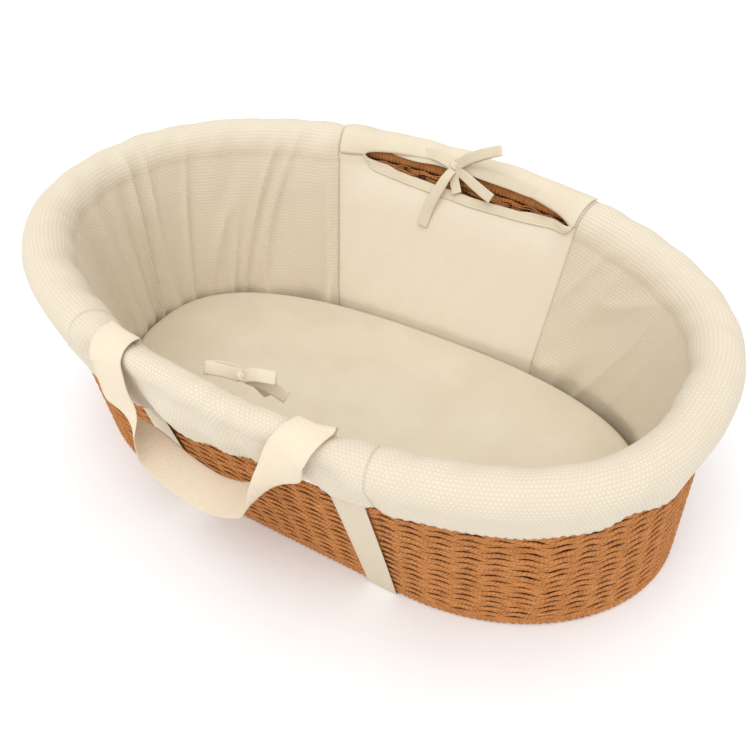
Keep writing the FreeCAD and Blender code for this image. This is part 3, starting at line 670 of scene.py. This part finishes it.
# Liner
cloth = {
    "fold": 12.0, "footShare": 0.45, "sideFold": 1.6, "flapFold": 2.0, "bridge": 95.0, "bowX": 20.0,
    "bowFold": 3.5, "rollPuff": 2.0, "skirtWave": 5.5, "pucker": 0.8, "puckerStep": 9.0, "seamPinch": 0.4,
    "seamWidth": 6.0, "seamFade": 12.0, "seamBridge": 80.0, "flatSlot": 9.0, "flatFront": 11.0,
    "rearCasing": (-167, 168.5, 46.0), "frontCasing": (-96, 98, 15.0),
    "endGrid": (250, 96), "innerGrid": (110, 60), "flapGrid": (130, 40),
}


def seamDip(distance):
    return -cloth["seamPinch"] * np.exp(-(distance / cloth["seamWidth"]) ** 2)


# how far the cloth stands off its plain face: folds inside, puffs on the roll, waves in the skirt
def clothLift(turn, s, folds, seed):
    share = shareAt(turn)
    quarter = liner["quarter"]
    inside = np.clip((-s + quarter * 0.3) / 110, 0, 1)
    inside = inside * inside * (3 - 2 * inside)
    skirt = np.clip((s - quarter * 0.8) / 40, 0, 1)
    onRoll = np.clip(1 - np.abs(s) / (quarter * 1.4), 0, 1)
    lean = s / 340.0 * (0.1 + 0.7 * rimPlan(turn)[1] / 250)
    broad = waves(share * 26 + lean * 1.2, seed, 4, 0.7, 1.4)
    drift = 0.6 * waves(share * 6 + lean, seed + 1)
    sharp = 1 - np.abs(np.sin(math.pi * (share * 28 + lean * 1.6 + drift)))
    gather = 0.45 + 0.55 * np.clip(0.5 + waves(share * 9 + lean, seed + 5, 3, 0.6, 1.2), 0, 1)
    lift = folds * inside * (0.45 + 0.35 * broad + 0.7 * sharp ** 1.4 * gather)
    puff = 0.5 + 0.5 * waves(share * 30 + s / 60, seed + 2, 4, 0.6, 1.5)
    lift = lift + cloth["rollPuff"] * onRoll * puff
    hem = np.clip((s - outerEnd(turn) + 14) / 14, 0, 1)
    wave = 0.5 + 0.5 * waves(share * 26 + lean, seed + 3, 4, 0.6, 1.4)
    lift = lift + cloth["skirtWave"] * skirt * wave
    pucker = np.sin(share * girth / cloth["puckerStep"] * 2 * math.pi + 3 * np.sin(share * 60))
    return lift + bowFolds(turn, s) + cloth["pucker"] * (hem + 0.3 * skirt) * (0.5 + 0.5 * pucker) * 1.3


# inside, the cloth leaves the roll straight down and meets the wall well below it
def bridgeLift(turn, s):
    behind = np.where(s < -liner["roll"] * math.pi / 2, liner["roll"] + liftedSection(turn, s, 0.0)[0], 0.0)
    reach = np.clip((-s - liner["quarter"]) / cloth["bridge"], 0, 1)
    return np.clip(behind, 0, None) * (1 - reach * reach * (3 - 2 * reach))


# on the front flap the cloth folds outwards from under the bow
def bowFolds(turn, s):
    x, y = rimPlan(turn)
    spoke = np.arctan2(x - cloth["bowX"], s + 50)
    near = np.exp(-((x - cloth["bowX"]) / 75) ** 2) * np.clip((s + 30) / 40, 0, 1)
    return np.where(y < 0, cloth["bowFold"] * near * (0.5 + 0.5 * np.cos(spoke * 13)) ** 1.5, 0.0)


def panelPlace(startTurn, endTurn, lowEdge, highEdge, folds, seed):
    width = abs(shareAt(endTurn) - shareAt(startTurn))

    def place(a, b, layer):
        turn = startTurn + (endTurn - startTurn) * a
        s = lowEdge(turn) + (highEdge(turn) - lowEdge(turn)) * b
        edge = np.minimum(a, 1 - a) * width * girth
        lift = clothLift(turn, s, folds, seed) * np.clip(edge / cloth["seamFade"], 0, 1) + seamDip(edge)
        if folds > 3:
            near = np.clip(edge / cloth["seamBridge"], 0, 1)
            lift = lift + bridgeLift(turn, s) * np.sin(near * math.pi / 2) ** 2
        u, drop = liftedSection(turn, s, lift - slackness(turn, s))
        return at(turn, u, drop)
    return place


# between the seams of the sides nothing pads the slot, so the cloth lies nearer the rope there
def slackness(turn, s):
    x, y = rimPlan(turn)
    between = np.clip((np.minimum(x - liner["seamHead"], liner["seamFootRear"] - x) - 4) / 34, 0, 1)
    between = between * between * (3 - 2 * between)
    slot = cloth["flatSlot"] * np.exp(-((s + 42) / 26) ** 2)
    front = cloth["flatFront"] * np.exp(-((s - 40) / 24) ** 2)
    return between * (slot + np.where(y < 0, front, 0.35 * front))


# metres along the rim and down the cloth, for the weave to follow
def clothSpan(startTurn, endTurn, lowEdge, highEdge):
    def spanned(a, b):
        turn = startTurn + (endTurn - startTurn) * a
        s = lowEdge(turn) + (highEdge(turn) - lowEdge(turn)) * b
        return np.stack([shareAt(turn) * girth * 1.06 * mm, s * mm], -1)
    return spanned


def lens(turn):
    x = rimPlan(turn)[0]
    share = np.clip((x - liner["slotHead"]) / (liner["slotFoot"] - liner["slotHead"]), 0, 1)
    return np.sin(math.pi * share) ** np.where(share > 0.5, 0.75, 0.36)


def slotLow(turn):
    return liner["slotMiddle"] - liner["slotHalf"] * lens(turn)


def slotHigh(turn):
    return liner["slotMiddle"] + liner["slotHalf"] * 0.9 * lens(turn)


# one panel of the liner between two seams, from one edge of its section to the other
def panel(name, grid, edges, folds, seed, finishName, stands):
    piece = surface(name, *grid, panelPlace(*edges, folds, seed), clothSpan(*edges), flip=True,
                    solid=liner["thick"])
    dress(piece, finishName, replaces=stands)


def linerPanels():
    rearHead, rearFoot = turnAt(liner["seamHead"], 1), turnAt(liner["seamFootRear"], 1)
    frontHead, frontFoot = turnAt(liner["seamHead"], -1), turnAt(liner["seamFootFront"], -1)
    panel("head_liner", cloth["endGrid"], (rearHead, frontHead, innerEnd, outerEnd), cloth["fold"], 11,
          "waffle", ["liner_head_panel", "head_padding"])
    panel("foot_liner", cloth["endGrid"], (frontFoot - 360, rearFoot, innerEnd, outerEnd),
          cloth["fold"] * cloth["footShare"], 12, "waffle", ["liner_foot_panel", "foot_padding"])
    for name, side, start, end in (("rear", 1, rearFoot, rearHead), ("front", -1, frontHead, frontFoot)):
        panel(f"{name}_inner_liner", cloth["innerGrid"], (start, end, innerEnd, slotLow),
              cloth["sideFold"], 20 + side, "waffleFine", [f"liner_{name}_panel", f"{name}_padding"])
        panel(f"{name}_flap", cloth["flapGrid"], (start, end, slotHigh, outerEnd), cloth["flapFold"],
              30 + side, "waffle", [f"{name}_outer_flap"])


# the plain facing round the slot's lower edge, and the plain channel for the ties along its upper edge
def slotTrim(name, side):
    start, end = turnAt(liner["slotHead"] - 3, side), turnAt(liner["slotFoot"] + 4, side)

    def facing(a, b, layer):
        turn = start + (end - start) * a
        taper = np.clip(np.minimum(a, 1 - a) / 0.04, 0.05, 1) ** 0.5
        s = slotLow(turn) + 0.4 - 10.4 * (1 - b) * taper
        stitch = 0.5 * np.exp(-((b - 0.22) / 0.06) ** 2)
        lift = clothLift(turn, s, cloth["sideFold"], 20 + side) + 0.9 - stitch
        u, drop = liftedSection(turn, s, lift - slackness(turn, s))
        return at(turn, u, drop)

    piece = surface(f"{name}_facing", 120, 10, facing, (0.32, 0.01), flip=True, solid=1.0)
    dress(piece, "plain", replaces=[f"{name}_slot_facing"])
    fromX, toX, wide = cloth["rearCasing"] if side > 0 else cloth["frontCasing"]
    casingStart, casingEnd = turnAt(fromX, side), turnAt(toX, side)

    def casing(a, b, layer):
        turn = casingStart + (casingEnd - casingStart) * a
        s = slotHigh(turn) - 0.4 + wide * b
        stitch = 0.5 * np.exp(-((b - 0.85) / 0.05) ** 2)
        lift = clothLift(turn, s, cloth["flapFold"], 30 + side) + 0.7 - stitch
        u, drop = liftedSection(turn, s, lift - slackness(turn, s))
        return at(turn, u, drop)

    piece = surface(f"{name}_casing", 120, 14, casing, (0.3, 0.02), flip=True, solid=1.0)
    dress(piece, "plain", replaces=[f"{name}_tie_casing"])


linerPanels()
slotTrim("rear", 1)
slotTrim("front", -1)
print("liner done")

# Mattress
mattress = {
    "halfLength": 341.0, "halfWidth": 157.0, "power": 2.5, "bottom": 15.0, "thick": 54.0, "round": 12.0,
    "crown": 3.0, "underTo": 0.35, "edgeTo": 0.55, "columns": 180, "rows": 70, "cloth": (1.6, 0.5),
}


# a rounded slab: b runs from the middle of the underside, round the edge, to the middle of the top
def mattressPiece():
    rounding, thick, foot = mattress["round"], mattress["thick"], mattress["bottom"]
    under, edge = mattress["underTo"], mattress["edgeTo"]

    def place(a, b, layer):
        angle = a * 2 * math.pi
        c, s = np.cos(angle), np.sin(angle)
        edgeX = mattress["halfLength"] * signedPower(c, 2 / mattress["power"])
        edgeY = mattress["halfWidth"] * signedPower(s, 2 / mattress["power"])
        share = np.where(b < under, b / under, np.where(b > edge, (1 - b) / (1 - edge), 1.0))
        share = share ** 0.8
        corner = np.clip((b - under) / (edge - under), 0, 1) * math.pi
        bulge = np.where((b >= under) & (b <= edge), np.sin(corner), 0.0)
        shrink = (rounding / mattress["halfWidth"]) * (1 - bulge)
        x, y = edgeX * share * (1 - shrink * 0.45), edgeY * share * (1 - shrink)
        level = np.where(b < under, 0.0, np.where(b > edge, 1.0, 0.5 - 0.5 * np.cos(corner)))
        inside = 1 - share
        crown = mattress["crown"] * np.clip(inside * 4, 0, 1) ** 0.7
        soft = 0.8 * waves(x / 260 + y / 300, 3) * np.clip(inside * 6, 0, 1)
        lift = np.where(b > edge, crown + soft, 0.0)
        return np.stack([x + basket["footShift"], y, foot + level * thick + lift], -1)

    piece = surface("mattress_sheet", mattress["columns"], mattress["rows"], place, mattress["cloth"],
                    True, True)
    dress(piece, "sheet", "mattress", ["fitted_sheet", "mattress_cover", "mattress_foam"])


mattressPiece()
print("mattress done")

# Handles, tapes and bows
strap = {"width": 42.0, "thick": 2.0, "lift": 3.0, "headX": -116.0, "footX": 124.0, "headDrift": 14.0,
         "footDrift": -20.0, "tilt": 25.0}
# the rear strap's way down from the rim under the flap: off the wall, and down
underFlap = [(1, -9), (5, -9.5), (9, -8), (12, -3), (13, 6), (14, 18), (15, 32), (16, 48), (19, 66)]
# the hanging loop: share of the way from head end to foot end, drop, and how far in towards the wall
hang = [(0.0, 18, 0), (0.005, 44, 2), (0.03, 76, 7), (0.10, 105, 13), (0.22, 125, 17), (0.38, 132, 18),
        (0.54, 123, 17), (0.68, 101, 13), (0.79, 74, 7), (0.88, 46, 3), (0.955, 20, 0)]


def one(turn, u, drop):
    return at(np.array([float(turn)]), np.array([float(u)]), np.array([float(drop)]))[0]


def handle(name, side):
    radius = liner["roll"] + strap["lift"] + strap["thick"] / 2
    ends = {}
    for end, x in (("head", strap["headX"]), ("foot", strap["footX"])):
        turn = turnAt(x, side)
        _, out, _, _ = wallFrame(np.array([turn]))
        ends[end] = (turn, out[0], one(turn, radius, 0))
    start, stop = ends["head"][2], ends["foot"][2]
    chord = (stop - start) / np.linalg.norm(stop - start)
    outwards = np.array([0.0, side, 0.0])
    tilt = math.radians(strap["tilt"])
    level = outwards * math.cos(tilt) + np.array([0, 0, -math.sin(tilt)])

    def over(turn, drift):
        if side > 0:
            legs = list(underFlap)
        else:
            legs = [(-10, 26), (-10, 0), (-10, -18)]
            for angle in (30, 10, -10, -30, -52, -74):
                lean = math.radians(angle)
                legs.append((-radius * math.sin(lean), -radius * math.cos(lean)))
        ahead = (one(turn + 0.3, 0, 0) - one(turn - 0.3, 0, 0)) * -side
        ahead = ahead / np.linalg.norm(ahead)
        return [(one(turn, u, drop) + chord * drift * (i / 8) ** 1.5, ahead * (1 - i / 8) + chord * i / 8)
                for i, (u, drop) in enumerate(legs)]

    places = over(ends["head"][0], strap["headDrift"])
    start = start + chord * strap["headDrift"]
    stop = stop + chord * strap["footDrift"]
    loop = []
    for share, drop, inset in hang[2 if side > 0 else 0:-2 if side > 0 else None]:
        point = start + (stop - start) * share + np.array([0, 0, -drop]) - outwards * inset
        loop.append((point, drop))
    for i, (point, drop) in enumerate(loop):
        before = loop[max(0, i - 1)][0]
        after = loop[min(len(loop) - 1, i + 1)][0]
        run = (after - before) / np.linalg.norm(after - before)
        hand = 1 if i <= len(loop) // 2 else -1
        twist = math.radians(90) * max(0.0, min(1.0, (drop - 44) / 66 if hand > 0 else drop / 88))
        flat = chord - run * np.dot(chord, run)
        flat = flat / max(np.linalg.norm(flat), 0.2) * hand
        across = flat * math.cos(twist) + level * math.sin(twist)
        places.append((point, across))
    places += [(point, -across) for point, across in over(ends["foot"][0], strap["footDrift"])[::-1]]
    piece = ribbon(f"{name}_handle_strap", places, strap["width"], strap["thick"], 260, 20, 0.6, 40 + side)
    stands = [f"{name}_handle", f"{name}_handle_head_end", f"{name}_handle_foot_end"]
    dress(piece, "webbing", None, stands)
    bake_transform(piece)


tapes = {"width": 37.0, "thick": 1.2, "off": 4.2, "headX": -107.0, "footX": 143.0,
         "levels": (245, 200, 150, 100, 60, 20, 8), "under": (7, 14, 26, 50, 90, 140)}


def tape(name, x):
    places = []
    for side in (-1, 1):
        leg = []
        turns = np.linspace(1, 179, 2000)
        turns = turns if side > 0 else 360 - turns
        for z in tapes["levels"]:
            heights = rimHeight(rimPlan(turns)[0])
            line = at(turns, np.full_like(turns, basket["wallHalf"] + tapes["off"]), heights - z)
            near = int(np.argmin(np.abs(line[:, 0] - x)))
            ahead = line[max(near - 5, 0)] - line[near + 5]
            leg.append((line[near], ahead / np.linalg.norm(ahead) * np.array([1, 1, 0])))
        foot = leg[-1][0]
        leg.append((np.array([x, foot[1] - side * 2.0, 1.6]), np.array([1.0, 0, 0])))
        for inward in tapes["under"]:
            leg.append((np.array([x, foot[1] - side * inward, 0.8]), np.array([1.0, 0, 0])))
        places += leg if side < 0 else leg[::-1]
    piece = ribbon(name, places, tapes["width"], tapes["thick"], 240, 12)
    dress(piece, "tape", "basket", [name])


def knot(name, place, radii):
    bm = bmesh.new()
    bmesh.ops.create_uvsphere(bm, u_segments=28, v_segments=18, radius=1.0)
    for vert in bm.verts:
        swirl = 1 + 0.12 * math.sin(5 * vert.co.z + 3 * math.atan2(vert.co.y, vert.co.x))
        vert.co = Vector([place[i] * mm + vert.co[i] * radii[i] * swirl * mm for i in range(3)])
    for face in bm.faces:
        face.smooth = True
    mesh = bpy.data.meshes.new(name)
    mesh.uv_layers.new(name="UVMap")
    bm.to_mesh(mesh)
    bm.free()
    piece = bpy.data.objects.new(name, mesh)
    bpy.context.scene.collection.objects.link(piece)
    return piece


ties = {
    "rear": {
        "knot": (-8, 233, 268),
        "radii": (6.5, 5.5, 6.5),
        "width": 13.0,
        "loop_right": ((60, 224, 310), (-0.5, 0.35, 0.8), 5),
        "loop_left": ((-54, 238, 273), (0.1, 0.6, 0.8), 4),
        "tail_left": [((-9, 228, 266), (1, 0, 0.3)), ((-16, 217, 252), (0.9, 0.2, 0.3)),
                      ((-27, 206, 226), (0.9, 0.3, 0.3)), ((-36, 197, 194), (0.9, 0.3, 0.2))],
        "band_left": [((-118, 236, 273), (0.2, 0.5, 0.8)), ((-92, 233, 269), (0.2, 0.5, 0.8)),
                      ((-62, 232, 268), (0.2, 0.6, 0.7)), ((-34, 233, 270), (0.2, 0.5, 0.8)),
                      ((-10, 233, 269), (0, 0.3, 1))],
        "band_right": [((-6, 234, 270), (0, 0.4, 0.9)), ((30, 231, 268), (0.1, 0.5, 0.8)),
                       ((70, 229, 266), (0.1, 0.5, 0.8)), ((96, 229, 263), (0.1, 0.5, 0.8)),
                       ((112, 236, 260), (0.1, 0.5, 0.8))],
        "tail_short": [((-8, 229, 264), (1, 0, 0)), ((-4, 224, 252), (1, 0.1, 0.1)),
                       ((2, 219, 240), (1, 0.2, 0.2))],
        "tail_right": [((-4, 230, 266), (0.3, 0, 1)), ((14, 224, 261), (0.4, 0.2, 0.8)),
                       ((34, 219, 254), (0.4, 0.3, 0.8)), ((52, 215, 248), (0.4, 0.4, 0.8))],
    },
    "front": {
        "knot": (20, -214, 268),
        "radii": (6.0, 5.0, 5.5),
        "width": 13.0,
        "loop_right": ((60, -212, 281), (-0.3, 0.45, 0.85), 5),
        "loop_left": ((-20, -222, 268), (0.1, 0.5, 0.85), 4),
        "tail_right": [((22, -212, 266), (0.3, 0.3, 1)), ((44, -206, 260), (0.2, 0.5, 0.8)),
                       ((62, -203, 252), (0.1, 0.5, 0.8))],
        "tail_short": [((21, -211, 264), (1, 0.2, 0)), ((30, -205, 254), (0.9, 0.3, 0.1)),
                       ((38, -202, 243), (0.9, 0.2, 0.1))],
    },
}


# a ribbon out to the tip and back again behind itself, with the two layers puffed apart between
def bowLoop(root, tip, across, puff):
    root, tip, across = (np.array(part, float) for part in (root, tip, across))
    run = tip - root
    normal = np.cross(run, across)
    normal = normal / np.linalg.norm(normal)
    rise = np.array([0, 0, 1.0])
    steps = (0.04, 0.3, 0.6, 0.85)
    out = [(root + run * t + (normal * puff + rise * 4) * math.sin(math.pi * t), across) for t in steps]
    back = [(root + run * t + (rise * 3 - normal * puff) * math.sin(math.pi * t), across)
            for t in steps[::-1]]
    return out + [(tip, across)] + back


def bow(name, body="basket"):
    tie = ties[name]
    piece = dress(knot(f"{name}_tie_knot", tie["knot"], tie["radii"]), "plain", body,
                  [f"{name}_tie"])
    for part, places in tie.items():
        if part in ("knot", "radii", "width"):
            continue
        if part.startswith("loop"):
            places = bowLoop(tie["knot"], *places)
        ends = ribbon(f"{name}_tie_{part}", [(np.array(p, float), np.array(w, float)) for p, w in places],
                      tie["width"], 1.4, 60, 12, 0.5, len(part))
        dress(ends, "plain", body)
    return piece


handle("front", -1)
handle("rear", 1)
tape("head_side_tape", tapes["headX"])
tape("foot_side_tape", tapes["footX"])
bow("rear")
bow("front")
print("handles, tapes and bows done")

# Parts carried over from the frame
carried = {
    # basket_wall and basket_floor take the near-black gap colour: painted shade behind the strands and
    # under the mattress
    "basket_wall": "gapShade", "basket_floor": "gapShade", "floor_rods": "stake", "foot_wire": "steel",
    "rim_wire": "steel", "wall_stakes": "stake", "hem_elastic": "elastic",
}
for nodeName, finishName in carried.items():
    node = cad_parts[nodeName]
    node.data.materials.clear()
    node.data.materials.append(finishes[finishName])
